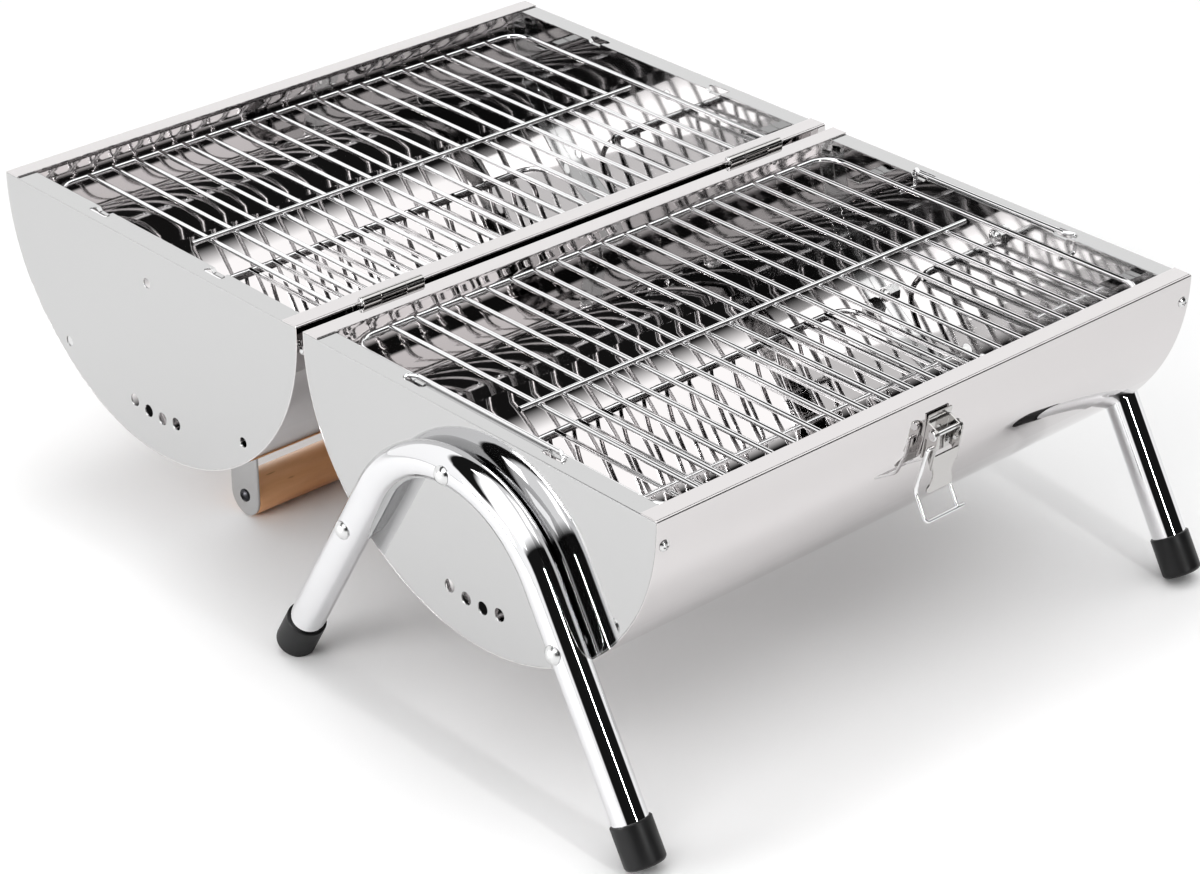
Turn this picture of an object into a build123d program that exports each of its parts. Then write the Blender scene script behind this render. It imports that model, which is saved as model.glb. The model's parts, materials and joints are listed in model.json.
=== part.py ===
"""Folding barrel camp grill, opened out flat.

The base half stands on two bent tube legs. The lid half is hinged to its back edge and rests on the
ground with its wooden handle. Each half is a sheet trough with two end plates, a cooking grate at the
rim and a charcoal grate low in the trough. A draw latch on the base front takes the keeper on the lid.

Origin: on the ground, in the middle of the grill's outline. X runs along the barrel, Y from the base
to the lid, Z up. Millimetres.
"""

import os
from math import asin, atan2, cos, degrees, radians, sin, sqrt, tan

from build123d import *

os.makedirs("parts", exist_ok=True)

# ---------------------------------------------------------------- driving dimensions
LENGTH = 420.0          # along the barrel, over the end plates
HALF_DEPTH = 286.0      # front to back of one half
TROUGH_DROP = 138.5     # rim to the lowest point of the trough
RIM_Z = 204.5           # rim plane above the ground
SIDE_R = 124.0          # side arcs of the trough
RIM_STRAIGHT = 4.5      # upright strip between the rim and the side arcs
SHEET = 0.8             # sheet steel
RIM_BEND = 1.4          # outer bend radius at the rim
LONG_FLANGE = 12.5      # inward rim flange of the shell
END_FLANGE = 13.5       # inward rim flange of an end plate
LIP = 11.0              # turned lip of an end plate, against the shell
FIT = 0.05              # play between fixed parts

HINGE_GAP = 5.8         # between the two halves
HINGE_RISE = 2.0        # hinge axis above the rim plane
HINGE_Y = 4.79          # puts the origin in the middle of the outline
HINGE_X = 144.0         # hinge centres, from mid-length
KNUCKLE_R = 2.75
KNUCKLES = ((-22.05, -9.35), (-9.1, 9.1), (9.35, 22.05))
HINGE_PIN_R = 1.5
RUNNING = 0.05          # radial clearance of every pivot
LEAF = 1.2              # hinge leaf thickness
LEAF_DROP = 15.0        # lower edge of a leaf below the hinge axis
LEAF_TOP = 3.1          # upper edge of a leaf below the hinge axis
LEAF_RIVET_DROP = 10.0
LEAF_RIVET_X = 14.5

VENT_R = 4.0
VENTS = ((-20.7, -110.0), (-6.9, -112.0), (6.9, -112.0), (20.7, -110.0))
SLOT_U = 56.5           # flange slots, either side of mid-depth
SLOT_IN = 8.5           # slot centre line from the end
SLOT_LENGTH = 17.0
SLOT_WIDTH = 4.5
BRIDGE_DROP = 2.0       # the strip inside each slot is pressed down
TONGUE_U = 100.0        # rests pressed out of the end plates, for the lower grate height
TONGUE_REACH = 24.0
TONGUE_WIDTH = 9.0
SCREW_IN = 5.5          # shell screws from each end
SCREW_DROP = 16.0       # and below the rim

LEG_R = 10.5
LEG_WALL = 1.2
LEG_STANDOFF = 10.8     # tube centre line outside the end plate
LEG_ARCH_R = 79.5
LEG_TOP_DROP = 24.6     # top of the tube's centre line below the rim
LEG_SPLAY = 30.5        # degrees from upright
LEG_BOLT_DROP = 95.5    # lower leg bolts below the rim
BOLT_R = 3.0
BOLT_HOLE_R = 3.2
BOLT_HEAD_R = 5.6
BOLT_SEAT = 0.8         # each bolt head sits in a flat pressed into the tube
CAP_R = 11.9
CAP_LENGTH = 25.0
CAP_FLOOR = 5.0
CAP_END_Z = 4.0         # centre of the cap's end face above the ground

WIRE_R = 1.5
FRAME_WIRE_R = 1.75
WELD = 0.6              # cross wires stand this much above the frame wire
COOK_X = 189.5          # half size of a cooking grate, to the frame wire's centre
COOK_Y = 127.0
COOK_CORNER = 16.0
COOK_WIRES = 19
COOK_PITCH = 17.9
COOK_ROD_X = 176.0
BASE_COOK_DROP = 7.8    # cross wires below the rim: in the hangers
LID_COOK_DROP = 12.8    # and on the tongues
COAL_X = 178.0          # half size of a charcoal grate
COAL_Y = 95.6
COAL_CORNER = 15.0
COAL_WIRES = 18
COAL_ROD_X = 170.0
COAL_DROP = 97.0
HANGER_R = 1.25
HANGER_RUN_IN = 12.1    # hanger's top run from the end
HANGER_FOOT_IN = 23.0
HANGER_U = 63.5
HANGER_RUN_U = 57.5

STRAP_INSET = 62.0      # handle straps from each end of the lid
STRAP_WIDTH = 26.6
STRAP_SHEET = 1.6
STRAP_FOOT = 22.0
ROD_R = 13.6
ROD_END_ROUND = 1.5
HANDLE_SCREW_R = 2.0
HANDLE_SCREW_LENGTH = 20.0

LATCH_X = -2.0          # the latch stands a touch off mid-length
LATCH_DROP = 24.5       # where its bracket touches the shell
PLATE_W = 1.0           # latch sheet
LATCH_PIN = (3.9, 6.6)  # lever pivot: up the bracket, out from the shell
LATCH_PIN_R = 1.5
BAIL_PIVOT = (-4.0, 7.0)
BAIL_R = 1.2
BAIL_LEG_U = 12.8
BAIL_KINK = (-33.0, 4.2)
BAIL_BAR = (-47.7, 15.4)
BAIL_END_U = 17.8
LEVER_U = 10.2
LEVER_FRONT = 10.2
KEEPER_HALF = 9.0
KEEPER_CATCH = 9.4      # keeper's hook below the lid rim, under the closed bail's bar

# ---------------------------------------------------------------- derived
BASE_Y = HINGE_Y - (HINGE_GAP + HALF_DEPTH) / 2
LID_Y = HINGE_Y + (HINGE_GAP + HALF_DEPTH) / 2
HINGE_Z = RIM_Z + HINGE_RISE
SIDE_OFFSET = HALF_DEPTH / 2 - SIDE_R
ARC_RISE = TROUGH_DROP - RIM_STRAIGHT - SIDE_R
BOTTOM_R = SIDE_R + (SIDE_OFFSET**2 + ARC_RISE**2) / (2 * ARC_RISE)
BOTTOM_CENTRE = BOTTOM_R - TROUGH_DROP
JOIN_ANGLE = degrees(atan2(BOTTOM_CENTRE + RIM_STRAIGHT, SIDE_OFFSET))
PLATE_INSET = SHEET + FIT
PLATE_TOP = -SHEET - FIT
SPLAY = radians(LEG_SPLAY)
ARCH_CENTRE = -LEG_TOP_DROP - LEG_ARCH_R
SPRING_U = LEG_ARCH_R * cos(SPLAY)
SPRING_V = ARCH_CENTRE + LEG_ARCH_R * sin(SPLAY)
FOOT_U = SPRING_U + (SPRING_V + RIM_Z - CAP_END_Z) * tan(SPLAY)
LEG_BOLTS = (
    (0.0, -LEG_TOP_DROP),
    (SPRING_U + (SPRING_V + LEG_BOLT_DROP) * tan(SPLAY), -LEG_BOLT_DROP),
    (-SPRING_U - (SPRING_V + LEG_BOLT_DROP) * tan(SPLAY), -LEG_BOLT_DROP),
)
ROD_Z = ROD_R
STRAP_X = LENGTH / 2 - STRAP_INSET
COOK_WIRE_XS = [(i - (COOK_WIRES - 1) / 2) * COOK_PITCH for i in range(COOK_WIRES)]
COAL_WIRE_XS = [COAL_X * (2 * i / (COAL_WIRES + 1) - 1) for i in range(1, COAL_WIRES + 1)]
LATCH_TILT = asin((LATCH_DROP - RIM_STRAIGHT) / SIDE_R)

LEFT, RIGHT = -1, 1
SIDES = ((LEFT, "left"), (RIGHT, "right"))
HALVES = (("base", BASE_Y), ("lid", LID_Y))


# ---------------------------------------------------------------- helpers
def save(builder, label):
    """Name a finished piece and write it."""
    builder.part.label = label
    export_step(builder.part, f"parts/{label}.step")


def end_plane(side, mid_y):
    """Outer face of an end: local x along the depth, y up from the rim, z into the trough."""
    return Plane(origin=(side * LENGTH / 2, mid_y, RIM_Z), x_dir=(0, -side, 0), z_dir=(-side, 0, 0))


def wall_plane(x, mid_y, wall, drop):
    """On a trough's outer side wall, drop below the rim, facing straight off the sheet."""
    tilt = asin(max(0.0, drop - RIM_STRAIGHT) / SIDE_R)
    y = mid_y + wall * (SIDE_OFFSET + SIDE_R * cos(tilt))
    return Plane(origin=(x, y, RIM_Z - drop), x_dir=(1, 0, 0), z_dir=(0, wall * cos(tilt), -sin(tilt)))


def screw_planes(mid_y):
    """Where the shell is screwed to the end plates."""
    x = LENGTH / 2 - SCREW_IN
    return [wall_plane(sx * x, mid_y, wall, SCREW_DROP) for sx in (-1, 1) for wall in (-1, 1)]


def leaf_rivet_planes(half_side):
    """Rivets of both hinges on one half, facing into the gap. half_side is -1 for the base."""
    xs = [hinge * HINGE_X + rivet * LEAF_RIVET_X for hinge in (-1, 1) for rivet in (-1, 1)]
    y = HINGE_Y + half_side * (HINGE_GAP / 2 - LEAF - FIT)
    z = HINGE_Z - LEAF_RIVET_DROP
    return [Plane(origin=(x, y, z), x_dir=(1, 0, 0), z_dir=(0, -half_side, 0)) for x in xs]


def strap_rivet_planes():
    """Rivets of the handle straps' feet, facing down."""
    xs = [side * (STRAP_X - inward) for side in (-1, 1) for inward in (8.0, 17.0)]
    z = RIM_Z - TROUGH_DROP - STRAP_SHEET - FIT
    return [Plane(origin=(x, LID_Y, z), x_dir=(1, 0, 0), z_dir=(0, 0, -1)) for x in xs]


def section_lines(inset, top):
    """A trough's closed section, set in from its outer face and closed by a straight line at top."""
    half = HALF_DEPTH / 2 - inset
    Line((-half, top), (-half, -RIM_STRAIGHT))
    CenterArc((-SIDE_OFFSET, -RIM_STRAIGHT), SIDE_R - inset, 180, JOIN_ANGLE)
    CenterArc((0, BOTTOM_CENTRE), BOTTOM_R - inset, 180 + JOIN_ANGLE, 180 - 2 * JOIN_ANGLE)
    CenterArc((SIDE_OFFSET, -RIM_STRAIGHT), SIDE_R - inset, 360 - JOIN_ANGLE, JOIN_ANGLE)
    Line((half, -RIM_STRAIGHT), (half, top))
    Line((half, top), (-half, top))


def drill(planes, radius, reach=10.0):
    """Cut round holes square to the given planes."""
    with Locations(*planes):
        Cylinder(radius, reach, mode=Mode.SUBTRACT)


def dome_lines(radius, height, rim):
    """Half section of a round head with an upright rim, on the Z axis."""
    ball = (radius**2 + height**2) / (2 * height)
    half_angle = asin(min(1.0, radius / ball)) / 2
    middle = (ball * sin(half_angle), rim + height - ball + ball * cos(half_angle))
    Line((0, 0), (radius, 0))
    Line((radius, 0), (radius, rim))
    ThreePointArc((radius, rim), middle, (0, rim + height))
    Line((0, rim + height), (0, 0))


def fastener(head, shank_r, shank_length, tail=None, cross=0.0):
    """One rivet or screw. head and tail are (radius, height, rim); the head stands on Z = 0."""
    with BuildPart() as one:
        with BuildSketch(Plane.XZ):
            with BuildLine():
                dome_lines(*head)
            make_face()
        revolve(axis=Axis.Z)
        with Locations((0, 0, -shank_length / 2)):
            Cylinder(shank_r, shank_length)
        if tail:
            with BuildSketch(Plane(origin=(0, 0, -shank_length), x_dir=(1, 0, 0), z_dir=(0, 1, 0))):
                with BuildLine():
                    dome_lines(*tail)
                make_face()
            revolve(axis=Axis.Z)
        if cross:
            top = head[1] + head[2]
            with Locations((0, 0, top)):
                Box(2 * cross, cross / 2.4, 0.9 * head[1], mode=Mode.SUBTRACT)
                Box(cross / 2.4, 2 * cross, 0.9 * head[1], mode=Mode.SUBTRACT)
    return one.part


def group(planes, piece, label):
    """The same fastener at several places, as one node of separate solids."""
    with BuildPart() as fasteners:
        with Locations(*planes):
            add(piece)
    save(fasteners, label)


def swept_wire(points, radii, wire_r):
    """Add a round wire along straight runs joined by bends."""
    with BuildLine() as path:
        FilletPolyline(*points, radius=radii)
    with BuildSketch(path.line ^ 0) as section:
        Circle(wire_r)
    sweep(sections=section.sketch, path=path.line)


# ---------------------------------------------------------------- troughs
def trough_shell(label, mid_y, rivet_holes):
    with BuildPart() as shell:
        with BuildSketch(Plane(origin=(-LENGTH / 2, mid_y, RIM_Z), x_dir=(0, 1, 0), z_dir=(1, 0, 0))):
            with BuildLine():
                section_lines(0, 0)
            make_face()
            with BuildLine():
                section_lines(SHEET, -SHEET)
            make_face(mode=Mode.SUBTRACT)
            Rectangle(HALF_DEPTH - 2 * LONG_FLANGE, 4 * SHEET, mode=Mode.SUBTRACT)
        extrude(amount=LENGTH)
        rim_edges = shell.edges().filter_by(Axis.X).group_by(Axis.Z)[-1].sort_by(Axis.Y)
        fillet([rim_edges[0], rim_edges[-1]], radius=RIM_BEND)
        drill(screw_planes(mid_y), SCREW_SHANK_R + FIT)
        for planes, radius in rivet_holes:
            drill(planes, radius + FIT)
    save(shell, label)


def end_plate(label, mid_y, side):
    half = HALF_DEPTH / 2 - PLATE_INSET
    plane = end_plane(side, mid_y)
    with BuildPart() as plate:
        with BuildSketch(plane):
            with BuildLine():
                section_lines(PLATE_INSET, PLATE_TOP)
            make_face()
        extrude(amount=SHEET)
        with BuildSketch(plane):
            with BuildLine():
                section_lines(PLATE_INSET, PLATE_TOP)
            make_face()
            with BuildLine():
                section_lines(PLATE_INSET + SHEET, PLATE_TOP)
            make_face(mode=Mode.SUBTRACT)
        extrude(amount=LIP)
        with BuildSketch(plane):
            with Locations((0, PLATE_TOP - SHEET / 2)):
                Rectangle(2 * half, SHEET)
        extrude(amount=END_FLANGE)
        rim_edges = plate.edges().filter_by(Axis.Y).group_by(Axis.Z)[-1].sort_by(Axis.X)
        fillet(rim_edges[0 if side == LEFT else -1], radius=SHEET * 0.9)
        # slots in the flange; the strip inside each one is pressed down as a bridge
        slot_x = side * (LENGTH / 2 - SLOT_IN)
        strip = END_FLANGE - SLOT_IN - SLOT_WIDTH / 2
        strip_x = side * (LENGTH / 2 - END_FLANGE + strip / 2)
        for wall in (-1, 1):
            slot_y = mid_y + wall * SLOT_U
            with BuildSketch(Plane.XY.offset(RIM_Z)):
                with Locations((slot_x, slot_y)):
                    SlotOverall(SLOT_LENGTH, SLOT_WIDTH, rotation=90)
                with Locations((strip_x, slot_y)):
                    Rectangle(strip + 2 * FIT, SLOT_LENGTH - SLOT_WIDTH)
            extrude(amount=-4 * SHEET, mode=Mode.SUBTRACT)
            bridge_plane = Plane(
                origin=(strip_x - strip / 2, slot_y, RIM_Z + PLATE_TOP), x_dir=(0, 1, 0), z_dir=(1, 0, 0)
            )
            reach = (SLOT_LENGTH - SLOT_WIDTH) / 2
            with BuildSketch(bridge_plane):
                with BuildLine():
                    Polyline(
                        (-reach - SHEET, 0),
                        (-reach, 0),
                        (-reach + BRIDGE_DROP, -BRIDGE_DROP),
                        (reach - BRIDGE_DROP, -BRIDGE_DROP),
                        (reach, 0),
                        (reach + SHEET, 0),
                        (reach + SHEET, -SHEET),
                        (reach, -SHEET),
                        (reach - BRIDGE_DROP, -BRIDGE_DROP - SHEET),
                        (-reach + BRIDGE_DROP, -BRIDGE_DROP - SHEET),
                        (-reach, -SHEET),
                        (-reach - SHEET, -SHEET),
                        close=True,
                    )
                make_face()
            extrude(amount=strip)
        # tongues that carry a grate by its end wire
        tongue_z = RIM_Z - LID_COOK_DROP - WELD - FRAME_WIRE_R - 0.3 - SHEET / 2
        tongue_x = side * (LENGTH / 2 - TONGUE_REACH / 2)
        with Locations(*[(tongue_x, mid_y + wall * TONGUE_U, tongue_z) for wall in (-1, 1)]):
            Box(TONGUE_REACH, TONGUE_WIDTH, SHEET)
        with BuildSketch(plane):
            with Locations(*LEG_BOLTS):
                Circle(BOLT_HOLE_R)
            with Locations(*VENTS):
                Circle(VENT_R)
        extrude(amount=2 * SHEET, mode=Mode.SUBTRACT)
        drill([p for p in screw_planes(mid_y) if p.origin.X * side > 0], SCREW_SHANK_R + FIT)
    save(plate, label)


# ---------------------------------------------------------------- fasteners
SCREW_SHANK_R = 1.7
shell_screw = fastener((3.3, 1.7, 0.4), SCREW_SHANK_R, 5.0, cross=1.9)
RIVET_R = 1.25
leaf_rivet = fastener((2.2, 0.6, 0.1), RIVET_R, LEAF + SHEET + 6 * FIT, tail=(2.1, 0.9, 0.2))
KEEPER_RIVET_R = 1.1
keeper_rivet = fastener((1.9, 0.8, 0.2), KEEPER_RIVET_R, PLATE_W + SHEET + 2 * FIT, tail=(1.9, 0.9, 0.2))
strap_rivet = fastener((3.0, 1.2, 0.3), 1.7, STRAP_SHEET + SHEET + 2 * FIT, tail=(3.0, 1.0, 0.2))
handle_screw = fastener((4.2, 1.8, 0.6), HANDLE_SCREW_R, HANDLE_SCREW_LENGTH, cross=2.3)
LATCH_RIVET_R = 1.3
latch_rivet = fastener((2.3, 1.0, 0.3), LATCH_RIVET_R, PLATE_W + SHEET + 1.1, tail=(2.3, 0.8, 0.2))

# ---------------------------------------------------------------- latch frame
LATCH_CONTACT = wall_plane(LATCH_X, BASE_Y, -1, LATCH_DROP)
LATCH_OUT = LATCH_CONTACT.z_dir
LATCH_UP = Vector(0, -sin(LATCH_TILT), cos(LATCH_TILT))


def latch_point(u, v, w):
    """u along the barrel, v up the shell, w straight off the shell."""
    return LATCH_CONTACT.origin + Vector(u, 0, 0) + LATCH_UP * v + LATCH_OUT * w


def latch_face(w):
    """Plane parallel to the shell at the latch; local x and y are u and v."""
    return Plane(origin=latch_point(0, 0, w), x_dir=(1, 0, 0), z_dir=LATCH_OUT)


def latch_side(u):
    """Plane across the latch; local x and y are v and w."""
    return Plane(origin=latch_point(u, 0, 0), x_dir=LATCH_UP, z_dir=(1, 0, 0))


LATCH_RIVETS = [
    Plane(origin=latch_point(u, -9.5, PLATE_W + FIT), x_dir=(1, 0, 0), z_dir=LATCH_OUT) for u in (-3.5, 11.0)
]
KEEPER_Y = LID_Y + HALF_DEPTH / 2
KEEPER_RIVETS = [
    Plane(
        origin=(LATCH_X + u, KEEPER_Y + PLATE_W + FIT, RIM_Z - 5.6), x_dir=(1, 0, 0), z_dir=(0, 1, 0)
    )
    for u in (-5.5, 5.5)
]

# ---------------------------------------------------------------- both halves
trough_shell("base_shell", BASE_Y, [(leaf_rivet_planes(-1), RIVET_R), (LATCH_RIVETS, LATCH_RIVET_R)])
trough_shell(
    "lid_shell",
    LID_Y,
    [(leaf_rivet_planes(1), RIVET_R), (KEEPER_RIVETS, KEEPER_RIVET_R), (strap_rivet_planes(), 1.7)],
)
for half_name, half_y in HALVES:
    for side, side_name in SIDES:
        end_plate(f"{half_name}_end_plate_{side_name}", half_y, side)
    group(screw_planes(half_y), shell_screw, f"{half_name}_shell_screws")


def grate(label, mid_y, wire_z, half_x, half_y, corner, wire_xs, rod_x):
    """Wire grate: rounded frame, cross wires front to back, and one rod along the top."""
    outline = Plane(origin=(0, mid_y, wire_z - WELD)) * RectangleRounded(2 * half_x, 2 * half_y, corner)
    frame_path = outline.face().outer_wire()
    with BuildPart() as wires:
        with BuildSketch(frame_path ^ 0):
            Circle(FRAME_WIRE_R)
        sweep(path=frame_path)
        with Locations(*[(x, mid_y, wire_z) for x in wire_xs]):
            Cylinder(WIRE_R, 2 * half_y, rotation=(90, 0, 0))
        with Locations((0, mid_y, wire_z + 2 * WIRE_R - 0.2)):
            Cylinder(WIRE_R, 2 * rod_x, rotation=(0, 90, 0))
    save(wires, label)


for half_name, half_y, cook_drop in (("base", BASE_Y, BASE_COOK_DROP), ("lid", LID_Y, LID_COOK_DROP)):
    grate(
        f"{half_name}_cooking_grate", half_y, RIM_Z - cook_drop, COOK_X, COOK_Y, COOK_CORNER,
        COOK_WIRE_XS, COOK_ROD_X,
    )
    grate(
        f"{half_name}_charcoal_grate", half_y, RIM_Z - COAL_DROP, COAL_X, COAL_Y, COAL_CORNER,
        COAL_WIRE_XS, COAL_ROD_X,
    )

# wire hangers that hook through the base's flange slots and carry its cooking grate
for side, side_name in SIDES:
    run_x = side * (LENGTH / 2 - HANGER_RUN_IN)
    drop_x = side * (LENGTH / 2 - SLOT_IN)
    foot_x = side * (LENGTH / 2 - HANGER_FOOT_IN)
    run_z = RIM_Z + PLATE_TOP + HANGER_R + FIT
    foot_z = RIM_Z - BASE_COOK_DROP - WELD - FRAME_WIRE_R - HANGER_R - 0.3
    half_path = [
        (foot_x, HANGER_U, foot_z),
        (drop_x, HANGER_U, foot_z),
        (drop_x, HANGER_U, run_z),
        (run_x, HANGER_RUN_U, run_z),
    ]
    hanger_path = [(x, BASE_Y - y, z) for x, y, z in half_path]
    hanger_path += [(x, BASE_Y + y, z) for x, y, z in reversed(half_path)]
    with BuildPart() as grate_hanger:
        swept_wire(hanger_path, 2.0, HANGER_R)
    save(grate_hanger, f"grate_hanger_{side_name}")

# ---------------------------------------------------------------- legs
bolt_length = LEG_STANDOFF + LEG_R - BOLT_SEAT + SHEET + 4.5
leg_bolt = fastener((BOLT_HEAD_R - 0.1, 2.8, 1.0), BOLT_R, bolt_length)
with BuildPart() as cap_nut:
    with BuildSketch():
        RegularPolygon(5.7, 6)
    extrude(amount=4.5)
    with BuildSketch(Plane.XZ):
        with BuildLine():
            dome_lines(4.5, 2.6, 5.0)
        make_face()
    revolve(axis=Axis.Z)
    with Locations((0, 0, 2.4)):
        Cylinder(BOLT_R + FIT, 4.8, mode=Mode.SUBTRACT)

nut_planes = []
for side, side_name in SIDES:
    tube_x = side * (LENGTH / 2 + LEG_STANDOFF)
    seat_x = tube_x + side * (LEG_R - BOLT_SEAT)
    bolt_centres = [(BASE_Y + u, RIM_Z + v) for u, v in LEG_BOLTS]
    bolt_planes = [Plane(origin=(seat_x, y, z), z_dir=(side, 0, 0)) for y, z in bolt_centres]
    nut_x = side * (LENGTH / 2 - SHEET - FIT)
    nut_planes += [Plane(origin=(nut_x, y, z), z_dir=(-side, 0, 0)) for y, z in bolt_centres]
    with BuildPart() as leg:
        with BuildLine(Plane(origin=(tube_x, BASE_Y, RIM_Z), x_dir=(0, 1, 0), z_dir=(1, 0, 0))) as path:
            tube_end = CAP_FLOOR + FIT
            foot = (FOOT_U - tube_end * sin(SPLAY), CAP_END_Z - RIM_Z + tube_end * cos(SPLAY))
            Line((-foot[0], foot[1]), (-SPRING_U, SPRING_V))
            CenterArc((0, ARCH_CENTRE), LEG_ARCH_R, LEG_SPLAY, 180 - 2 * LEG_SPLAY)
            Line((SPRING_U, SPRING_V), foot)
        with BuildSketch(Plane(path.line ^ 0)):
            Circle(LEG_R)
            Circle(LEG_R - LEG_WALL, mode=Mode.SUBTRACT)
        sweep(path=path.line)
        drill(bolt_planes, BOLT_R + FIT, reach=3 * LEG_STANDOFF + 15)
        with Locations(*bolt_planes):
            Cylinder(BOLT_HEAD_R, 4, align=(Align.CENTER, Align.CENTER, Align.MIN), mode=Mode.SUBTRACT)
    save(leg, f"leg_{side_name}")
    group(bolt_planes, leg_bolt, f"leg_bolts_{side_name}")

    for end_side, end_name in ((-1, "front"), (1, "rear")):
        end_centre = (tube_x, BASE_Y + end_side * FOOT_U, CAP_END_Z)
        up_leg = (0, -end_side * sin(SPLAY), cos(SPLAY))
        with BuildPart() as foot_cap:
            with BuildSketch(Plane(origin=end_centre, x_dir=(1, 0, 0), z_dir=up_leg)) as cap_end:
                Circle(CAP_R)
            extrude(amount=CAP_LENGTH)
            rims = foot_cap.edges().filter_by(GeomType.CIRCLE).sort_by(Axis.Z)
            fillet(rims[0], radius=2.5)
            fillet(rims[-1], radius=0.8)
            with BuildSketch(Plane(origin=end_centre, x_dir=(1, 0, 0), z_dir=up_leg).offset(CAP_FLOOR)):
                Circle(LEG_R + FIT)
            extrude(amount=CAP_LENGTH, mode=Mode.SUBTRACT)
            split(bisect_by=Plane.XY, keep=Keep.TOP)
        save(foot_cap, f"foot_cap_{side_name}_{end_name}")
group(nut_planes, cap_nut.part, "leg_nuts")

# ---------------------------------------------------------------- hinges
for side, side_name in SIDES:
    hinge_x = side * HINGE_X
    for half_name, half_side, own in (("base", -1, (0, 2)), ("lid", 1, (1,))):
        leaf_y = HINGE_Y + half_side * (HINGE_GAP / 2 - FIT - LEAF / 2)
        with BuildPart() as leaf:
            length = KNUCKLES[2][1] - KNUCKLES[0][0]
            with Locations((hinge_x, leaf_y, HINGE_Z - (LEAF_DROP + LEAF_TOP) / 2)):
                Box(length, LEAF, LEAF_DROP - LEAF_TOP)
            fillet(leaf.edges().filter_by(Axis.Y).group_by(Axis.Z)[0], radius=2.0)
            for k in own:
                start, stop = KNUCKLES[k]
                knuckle_x = hinge_x + (start + stop) / 2
                with Locations((knuckle_x, leaf_y, HINGE_Z - LEAF_TOP / 2 - 0.5)):
                    Box(stop - start, LEAF, LEAF_TOP + 1.0)
                with Locations((knuckle_x, HINGE_Y, HINGE_Z)):
                    Cylinder(KNUCKLE_R, stop - start, rotation=(0, 90, 0))
            with Locations((hinge_x, HINGE_Y, HINGE_Z)):
                Cylinder(HINGE_PIN_R + RUNNING, 2 * length, rotation=(0, 90, 0), mode=Mode.SUBTRACT)
            drill(leaf_rivet_planes(half_side), RIVET_R + FIT, reach=5.0)
        save(leaf, f"hinge_leaf_{half_name}_{side_name}")
    with BuildPart() as hinge_pin:
        with BuildSketch(Plane(origin=(hinge_x, HINGE_Y, HINGE_Z), x_dir=(0, 0, 1), z_dir=(0, -1, 0))):
            with BuildLine():
                reach = KNUCKLES[2][1] + FIT
                Polyline(
                    (0, -reach - 1.0), (2.5, -reach - 1.0), (2.5, -reach), (HINGE_PIN_R, -reach),
                    (HINGE_PIN_R, reach), (2.5, reach), (2.5, reach + 1.0), (0, reach + 1.0), close=True,
                )
            make_face()
        revolve(axis=Axis((hinge_x, HINGE_Y, HINGE_Z), (1, 0, 0)))
        ends = hinge_pin.faces().sort_by(Axis.X)
        fillet([ends[0].edges()[0], ends[-1].edges()[0]], radius=0.95)
    save(hinge_pin, f"hinge_pin_{side_name}")
group(leaf_rivet_planes(-1), leaf_rivet, "hinge_rivets_base")
group(leaf_rivet_planes(1), leaf_rivet, "hinge_rivets_lid")

# ---------------------------------------------------------------- handle
strap_top = RIM_Z - TROUGH_DROP - FIT
for side, side_name in SIDES:
    strap_plane = Plane(
        origin=(side * STRAP_X, LID_Y, ROD_Z), x_dir=(0, -side, 0), z_dir=(-side, 0, 0)
    )
    with BuildPart() as strap:
        with BuildSketch(strap_plane):
            Circle(STRAP_WIDTH / 2)
            with Locations((0, (strap_top - ROD_Z) / 2)):
                Rectangle(STRAP_WIDTH, strap_top - ROD_Z)
            Circle(HANDLE_SCREW_R + FIT, mode=Mode.SUBTRACT)
        extrude(amount=STRAP_SHEET)
        foot_x = side * (STRAP_X - STRAP_FOOT / 2)
        with Locations((foot_x, LID_Y, strap_top - STRAP_SHEET / 2)):
            Box(STRAP_FOOT, STRAP_WIDTH, STRAP_SHEET)
        bend = strap.edges().filter_by(Axis.Y).group_by(Axis.Z)[-1].sort_by(Axis.X)
        fillet(bend[0 if side == LEFT else -1], radius=1.4)
        tips = strap.edges().filter_by(Axis.Z).group_by(Axis.Z)[-1].sort_by(Axis.X)
        fillet(tips[-2:] if side == LEFT else tips[:2], radius=5.0)
        drill(strap_rivet_planes(), 1.7 + FIT)
    save(strap, f"handle_strap_{side_name}")

rod_length = 2 * (STRAP_X - STRAP_SHEET - FIT)
screw_seat_planes = [
    Plane(origin=(side * STRAP_X, LID_Y, ROD_Z), z_dir=(side, 0, 0)) for side in (LEFT, RIGHT)
]
with BuildPart() as handle_rod:
    with Locations((0, LID_Y, ROD_Z)):
        Cylinder(ROD_R, rod_length, rotation=(0, 90, 0))
    fillet(handle_rod.edges().filter_by(GeomType.CIRCLE), radius=ROD_END_ROUND)
    drill(screw_seat_planes, HANDLE_SCREW_R + FIT, reach=2 * HANDLE_SCREW_LENGTH + 1)
save(handle_rod, "handle_rod")
group(screw_seat_planes, handle_screw, "handle_screws")
group(strap_rivet_planes(), strap_rivet, "handle_strap_rivets")

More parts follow.
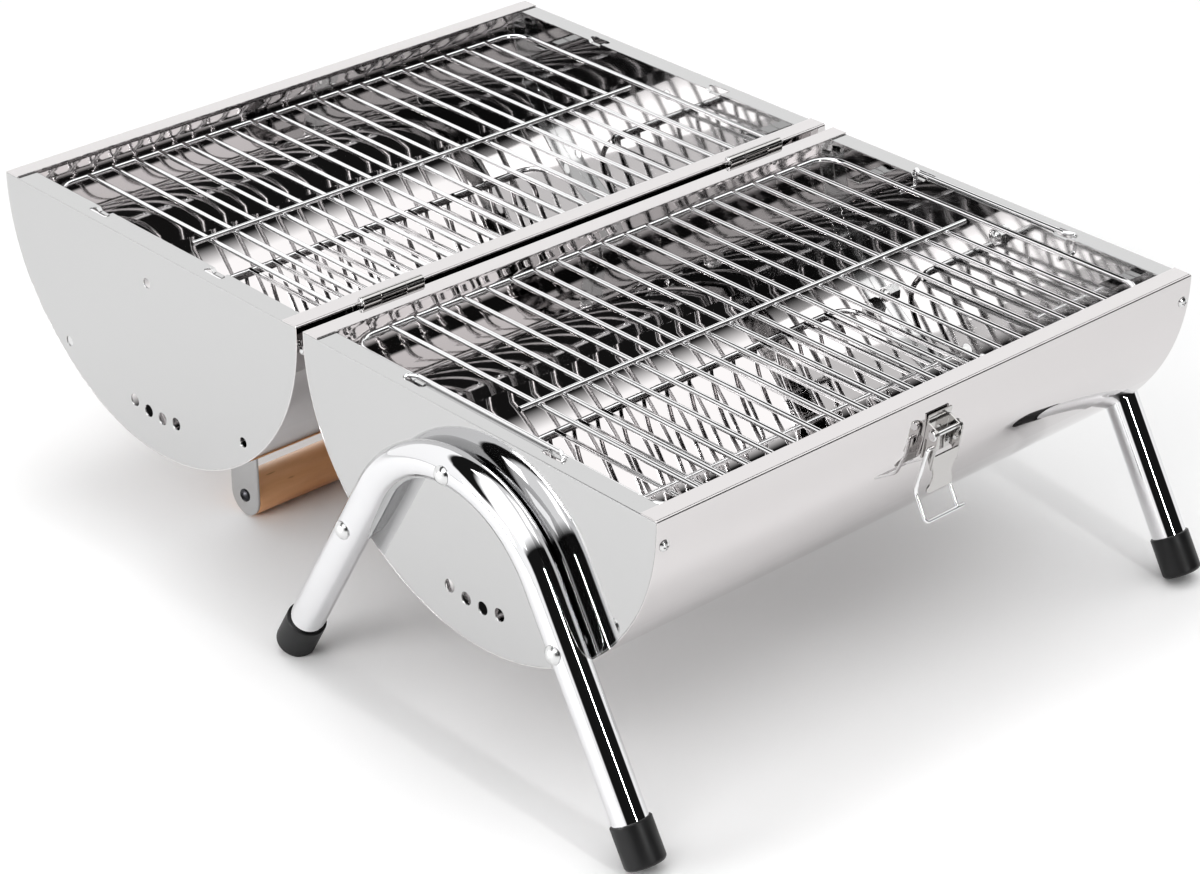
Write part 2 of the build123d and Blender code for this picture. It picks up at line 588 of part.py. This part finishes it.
# ---------------------------------------------------------------- latch
with BuildPart() as latch_bracket:
    with BuildSketch(latch_face(FIT)):
        with BuildLine():
            Polyline(
                (-8.9, -14.5), (14.9, -14.5), (14.9, -2.5), (8.9, 4.5), (8.9, 13.5), (-8.9, 13.5), close=True,
            )
        make_face()
    extrude(amount=PLATE_W)
    for u in (-8.9, 7.9):
        with BuildSketch(latch_side(u)):
            with Locations(LATCH_PIN):
                Circle(3.2)
            with BuildLine():
                Polyline((-2, 0.5), (9, 0.5), (7.1, 6.6), (0.7, 6.6), close=True)
            make_face()
            with Locations(LATCH_PIN):
                Circle(LATCH_PIN_R + RUNNING, mode=Mode.SUBTRACT)
        extrude(amount=PLATE_W)
    with BuildSketch(latch_side(14.0)):
        with BuildLine():
            FilletPolyline((-14.5, 0.5), (-13, 5.5), (-6, 5.5), (-2.5, 0.5), radius=1.5)
            Line((-2.5, 0.5), (-14.5, 0.5))
        make_face()
    extrude(amount=0.9)
    drill(LATCH_RIVETS, LATCH_RIVET_R + FIT, reach=6.0)
save(latch_bracket, "latch_bracket")
group(LATCH_RIVETS, latch_rivet, "latch_bracket_rivets")

with BuildPart() as latch_pin:
    pin_reach = LEVER_U + 0.1
    with BuildSketch(latch_side(-pin_reach)):
        with Locations(LATCH_PIN):
            Circle(LATCH_PIN_R)
    extrude(amount=2 * pin_reach)
    for u in (-pin_reach - 1.0, pin_reach):
        with BuildSketch(latch_side(u)):
            with Locations(LATCH_PIN):
                Circle(3.0)
        extrude(amount=1.0)
    pin_ends = latch_pin.faces().sort_by(Axis.X)
    fillet([pin_ends[0].edges()[0], pin_ends[-1].edges()[0]], radius=0.9)
save(latch_pin, "latch_pin")

with BuildPart() as latch_lever:
    lever_sheet = 0.9
    for u in (-LEVER_U, LEVER_U - lever_sheet):
        with BuildSketch(latch_side(u)):
            with Locations(LATCH_PIN):
                Circle(LEVER_FRONT - LATCH_PIN[1])
            with BuildLine():
                Polyline(
                    (3.9, 3.0), (3.9, LEVER_FRONT), (-17, LEVER_FRONT), (-17, LEVER_FRONT - 1), (-7, 3.6),
                    close=True,
                )
            make_face()
            with Locations(LATCH_PIN):
                Circle(LATCH_PIN_R + RUNNING, mode=Mode.SUBTRACT)
            with Locations(BAIL_PIVOT):
                Circle(BAIL_R + RUNNING, mode=Mode.SUBTRACT)
        extrude(amount=lever_sheet)
    with BuildSketch(latch_face(LEVER_FRONT - lever_sheet)):
        with BuildLine():
            Line((-LEVER_U, -8), (LEVER_U, -8))
            Line((LEVER_U, -8), (LEVER_U, -15))
            ThreePointArc((LEVER_U, -15), (7.4, -22), (LEVER_U, -29))
            Line((LEVER_U, -29), (LEVER_U, -33))
            Line((LEVER_U, -33), (-LEVER_U, -33))
            Line((-LEVER_U, -33), (-LEVER_U, -29))
            ThreePointArc((-LEVER_U, -29), (-7.4, -22), (-LEVER_U, -15))
            Line((-LEVER_U, -15), (-LEVER_U, -8))
        make_face()
    extrude(amount=lever_sheet)
    tip_edges = latch_lever.edges().filter_by(Axis((0, 0, 0), LATCH_OUT))
    fillet(tip_edges.group_by(Axis.Z)[0], radius=2.5)
save(latch_lever, "latch_lever")

with BuildPart() as latch_bail:
    hook = [(BAIL_PIVOT, 8.7), (BAIL_PIVOT, BAIL_LEG_U), (BAIL_KINK, BAIL_LEG_U), (BAIL_BAR, BAIL_LEG_U)]
    left_leg = [latch_point(-u, v, w) for (v, w), u in hook]
    right_leg = [latch_point(u, v, w) for (v, w), u in hook]
    bar_end = latch_point(BAIL_END_U, *BAIL_BAR)
    swept_wire(left_leg + [bar_end], [1.4, 6.0, 3.0], BAIL_R)
    swept_wire(right_leg, [1.4, 6.0], BAIL_R)
save(latch_bail, "latch_bail")

with BuildPart() as latch_keeper:
    with BuildSketch(
        Plane(origin=(LATCH_X - KEEPER_HALF, KEEPER_Y, RIM_Z), x_dir=(0, 1, 0), z_dir=(1, 0, 0))
    ):
        with BuildLine():
            Polyline(
                (FIT, -2.6),
                (FIT, -KEEPER_CATCH),
                (4.8, -KEEPER_CATCH),
                (4.8, -KEEPER_CATCH - 5),
                (5.8, -KEEPER_CATCH - 5),
                (5.8, -KEEPER_CATCH + 1),
                (PLATE_W + FIT, -KEEPER_CATCH + 1),
                (PLATE_W + FIT, -2.6),
                close=True,
            )
        make_face()
    extrude(amount=2 * KEEPER_HALF)
    drill(KEEPER_RIVETS, KEEPER_RIVET_R + FIT, reach=6.0)
save(latch_keeper, "latch_keeper")
group(KEEPER_RIVETS, keeper_rivet, "latch_keeper_rivets")
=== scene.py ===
"""Looks of the folding barrel camp grill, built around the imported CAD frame."""

import json
import math

import bpy
from mathutils import Matrix, Vector


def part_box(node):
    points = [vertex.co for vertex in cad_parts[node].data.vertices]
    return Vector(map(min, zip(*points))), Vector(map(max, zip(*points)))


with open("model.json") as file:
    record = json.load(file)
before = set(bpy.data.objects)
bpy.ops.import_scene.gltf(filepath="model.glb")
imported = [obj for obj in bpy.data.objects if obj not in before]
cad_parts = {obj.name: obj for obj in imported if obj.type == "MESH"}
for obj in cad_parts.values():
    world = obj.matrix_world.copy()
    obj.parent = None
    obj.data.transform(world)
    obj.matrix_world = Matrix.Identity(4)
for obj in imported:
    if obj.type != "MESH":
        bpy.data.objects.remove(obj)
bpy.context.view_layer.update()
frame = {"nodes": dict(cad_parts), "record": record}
scene = bpy.context.scene
nodes = frame["nodes"]

FLOOR_SIZE = 24
FLOOR_DROP = 0.0005  # keeps the feet's flats clear of the floor

# a white tent round the barrel's axis, black in front, with an overhead bank and a pale wall behind:
# degrees from level behind, over the top to level in front, and the light there
TENT = (
    (0, 0.95), (46, 1.0), (50, 0.015), (69, 0.015), (77, 1.2), (124, 1.2), (134, 0.015), (173, 0.015),
    (180, 0.4),
)
TENT_PEAK = 1.2
TENT_END_LEVEL = 0.8
TENT_END_START = 0.84  # how far along X a direction points where the tent's end walls begin
TENT_END_FULL = 0.92

# name, place, aim, size, power
SOFTBOXES = (
    ("key", (-2.6, -1.0, 2.6), (0, 0, 0.1), (1.8, 1.2), 10),
    ("overhead", (0.2, 0.4, 3.2), (0, 0, 0.15), (1.4, 1.0), 12),
    ("left", (-2.2, 0.5, 0.55), (0, 0.15, 0.04), (1.1, 0.4), 20),
    ("fill", (-0.2, -2.2, 0.9), (0.1, -0.35, 0.0), (0.09, 0.9), 9),
)

CAMERA_SENSOR = 36
CAMERA_LENS = 102.376
CAMERA_REACH = 50
CAMERA_OFFSET = (-1.0178, -1.0667, 0.8531)  # from the base's front left rim corner
CAMERA_RIGHT = (0.73742, -0.67543, 0.00169)
CAMERA_BACK = (-0.59344, -0.64671, 0.47917)


# ---------------------------------------------------------------- materials
def new_material(name, color, metallic, roughness, **extra):
    """A material with its principled shader set, and its node tree's tools."""
    material = bpy.data.materials.new(name)
    material.use_nodes = True
    tree = material.node_tree
    shader = tree.nodes["Principled BSDF"]
    shader.inputs["Base Color"].default_value = (*color, 1)
    shader.inputs["Metallic"].default_value = metallic
    shader.inputs["Roughness"].default_value = roughness
    for socket, value in extra.items():
        shader.inputs[socket.replace("_", " ")].default_value = value
    return material, tree, shader


def position(tree, scale):
    """Object coordinates, stretched."""
    coords = tree.nodes.new("ShaderNodeTexCoord")
    mapping = tree.nodes.new("ShaderNodeMapping")
    mapping.inputs["Scale"].default_value = scale
    tree.links.new(coords.outputs["Object"], mapping.inputs["Vector"])
    return mapping.outputs["Vector"]


def noise(tree, scale, detail, stretch=(1, 1, 1)):
    texture = tree.nodes.new("ShaderNodeTexNoise")
    texture.inputs["Scale"].default_value = scale
    texture.inputs["Detail"].default_value = detail
    tree.links.new(position(tree, stretch), texture.inputs["Vector"])
    return texture.outputs["Fac"]


def remap(tree, value, low, high):
    """Noise around 0.5 to a value between low and high."""
    node = tree.nodes.new("ShaderNodeMapRange")
    node.inputs["From Min"].default_value = 0.3
    node.inputs["From Max"].default_value = 0.7
    node.inputs["To Min"].default_value = low
    node.inputs["To Max"].default_value = high
    tree.links.new(value, node.inputs["Value"])
    return node.outputs["Result"]


def two_tone(tree, value, low, low_color, high, high_color):
    """One colour up to low, another from high."""
    node = tree.nodes.new("ShaderNodeValToRGB")
    first, second = node.color_ramp.elements
    first.position = low
    first.color = (*low_color, 1)
    second.position = high
    second.color = (*high_color, 1)
    tree.links.new(value, node.inputs["Fac"])
    return node.outputs["Color"]


def bump(tree, shader, height, strength, distance):
    node = tree.nodes.new("ShaderNodeBump")
    node.inputs["Strength"].default_value = strength
    node.inputs["Distance"].default_value = distance
    tree.links.new(height, node.inputs["Height"])
    tree.links.new(node.outputs["Normal"], shader.inputs["Normal"])
    return node


def rounded(tree, node, radius):
    """Broken edges on sheet metal."""
    edge = tree.nodes.new("ShaderNodeBevel")
    edge.samples = 4
    edge.inputs["Radius"].default_value = radius
    tree.links.new(edge.outputs["Normal"], node.inputs["Normal"])


def metal(name, color, roughness, spread, wave=0.0, edge=0.0):
    """Smudged metal: wave is how far the sheet bulges, edge how round its edges are."""
    material, tree, shader = new_material(name, color, 1.0, roughness)
    smudge = remap(tree, noise(tree, 14, 4), roughness - spread, roughness + spread)
    tree.links.new(smudge, shader.inputs["Roughness"])
    if wave:
        rounded(tree, bump(tree, shader, noise(tree, 9, 1.5), 0.25, wave), edge)
    elif edge:
        rounded(tree, shader, edge)
    return material


def black_rubber():
    material, tree, shader = new_material("black_rubber", (0.006, 0.006, 0.0065), 0.0, 0.45)
    tree.links.new(remap(tree, noise(tree, 60, 5), 0.34, 0.5), shader.inputs["Roughness"])
    bump(tree, shader, noise(tree, 900, 2), 0.15, 0.0002)
    return material


def varnished_wood():
    """Grain and darker flecks drawn out along X, under varnish."""
    material, tree, shader = new_material(
        "varnished_wood", (0.6, 0.3, 0.12), 0.0, 0.35, Coat_Weight=0.35, Coat_Roughness=0.15
    )
    grain = noise(tree, 55, 6, stretch=(0.16, 1, 1))
    fleck = noise(tree, 260, 2, stretch=(0.14, 1, 1))
    mix = tree.nodes.new("ShaderNodeMix")
    mix.data_type = "RGBA"
    mix.blend_type = "MULTIPLY"
    mix.inputs["Factor"].default_value = 0.8
    grain_color = two_tone(tree, grain, 0.3, (0.62, 0.29, 0.12), 0.68, (0.92, 0.53, 0.28))
    fleck_color = two_tone(tree, fleck, 0.66, (1, 1, 1), 0.74, (0.42, 0.3, 0.22))
    tree.links.new(grain_color, mix.inputs["A"])
    tree.links.new(fleck_color, mix.inputs["B"])
    tree.links.new(mix.outputs["Result"], shader.inputs["Base Color"])
    bump(tree, shader, grain, 0.1, 0.0003)
    return material


BY_SLOT = {
    "polished_steel": metal("polished_steel", (0.68, 0.66, 0.66), 0.02, 0.008, wave=0.0005, edge=0.0006),
    "satin_steel": metal("satin_steel", (0.57, 0.57, 0.57), 0.045, 0.015, wave=0.0003, edge=0.0007),
    "chrome_tube": metal("chrome_tube", (0.80, 0.80, 0.81), 0.035, 0.012),
    "chrome_wire": metal("chrome_wire", (0.86, 0.86, 0.865), 0.08, 0.025),
    "fastener_steel": metal("fastener_steel", (0.72, 0.72, 0.72), 0.2, 0.05),
    "latch_steel": metal("latch_steel", (0.56, 0.55, 0.54), 0.06, 0.02, edge=0.0004),
    "black_rubber": black_rubber(),
    "varnished_wood": varnished_wood(),
    "dark_screw": metal("dark_screw", (0.06, 0.06, 0.065), 0.32, 0.05),
}
for entry in frame["record"]["subparts"]:
    mesh = nodes[entry["node"]].data
    mesh.materials.clear()
    mesh.materials.append(BY_SLOT[entry["material_slot"]])

# ---------------------------------------------------------------- studio
floor_material, tree, shader = new_material("studio_floor", (0.93, 0.93, 0.93), 0.0, 0.6)
bpy.ops.mesh.primitive_plane_add(size=FLOOR_SIZE, location=(0, 0, -FLOOR_DROP))
floor = bpy.context.object
floor.name = "studio_floor"
floor.data.materials.append(floor_material)

world = bpy.data.worlds.new("studio")
scene.world = world
world.use_nodes = True
tree = world.node_tree
background = tree.nodes["Background"]
coords = tree.nodes.new("ShaderNodeTexCoord")
direction = tree.nodes.new("ShaderNodeSeparateXYZ")
tree.links.new(coords.outputs["Generated"], direction.inputs["Vector"])


def math_node(operation, first, second=None):
    node = tree.nodes.new("ShaderNodeMath")
    node.operation = operation
    tree.links.new(first, node.inputs[0])
    if second is not None:
        tree.links.new(second, node.inputs[1])
    return node.outputs["Value"]


half_turn = tree.nodes.new("ShaderNodeMapRange")
half_turn.inputs["From Max"].default_value = math.pi
around = math_node("ARCTAN2", direction.outputs["Z"], direction.outputs["Y"])
tree.links.new(around, half_turn.inputs["Value"])
bands = tree.nodes.new("ShaderNodeValToRGB")
stops = bands.color_ramp.elements
while len(stops) < len(TENT):
    stops.new(0.5)
for stop, (turn_degrees, level) in zip(stops, TENT):
    stop.position = turn_degrees / 180
for stop, (turn_degrees, level) in zip(stops, TENT):
    share = level / TENT_PEAK
    stop.color = (share, share, share, 1)
tree.links.new(half_turn.outputs["Result"], bands.inputs["Fac"])

ends = tree.nodes.new("ShaderNodeMapRange")
ends.interpolation_type = "SMOOTHSTEP"
ends.inputs["From Min"].default_value = TENT_END_START
ends.inputs["From Max"].default_value = TENT_END_FULL
tree.links.new(math_node("ABSOLUTE", direction.outputs["X"]), ends.inputs["Value"])
tent = tree.nodes.new("ShaderNodeMix")
tent.data_type = "RGBA"
tent.inputs["B"].default_value = (TENT_END_LEVEL, TENT_END_LEVEL, TENT_END_LEVEL, 1)
tree.links.new(ends.outputs["Result"], tent.inputs["Factor"])
tree.links.new(bands.outputs["Color"], tent.inputs["A"])
tree.links.new(tent.outputs["Result"], background.inputs["Color"])
background.inputs["Strength"].default_value = TENT_PEAK

for name, place, aim, size, power in SOFTBOXES:
    light = bpy.data.lights.new(name, "AREA")
    light.shape = "RECTANGLE"
    light.size, light.size_y = size
    light.energy = power
    lamp = bpy.data.objects.new(name, light)
    scene.collection.objects.link(lamp)
    lamp.location = place
    lamp.rotation_euler = (Vector(aim) - Vector(place)).to_track_quat("-Z", "Y").to_euler()

# ---------------------------------------------------------------- camera
camera_data = bpy.data.cameras.new("camera")
camera_data.sensor_width = CAMERA_SENSOR
camera_data.lens = CAMERA_LENS
camera_data.clip_end = CAMERA_REACH
camera = bpy.data.objects.new("camera", camera_data)
scene.collection.objects.link(camera)
shell_low, shell_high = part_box("base_shell")
front_left_rim = Vector((shell_low.x, shell_low.y, shell_high.z))
camera_right = Vector(CAMERA_RIGHT)
camera_back = Vector(CAMERA_BACK)
camera_up = camera_back.cross(camera_right)
turn = Matrix((camera_right, camera_up, camera_back)).transposed().to_4x4()
camera.matrix_world = Matrix.Translation(front_left_rim + Vector(CAMERA_OFFSET)) @ turn
scene.camera = camera
scene.view_settings.view_transform = "Standard"
scene.view_settings.look = "Medium High Contrast"
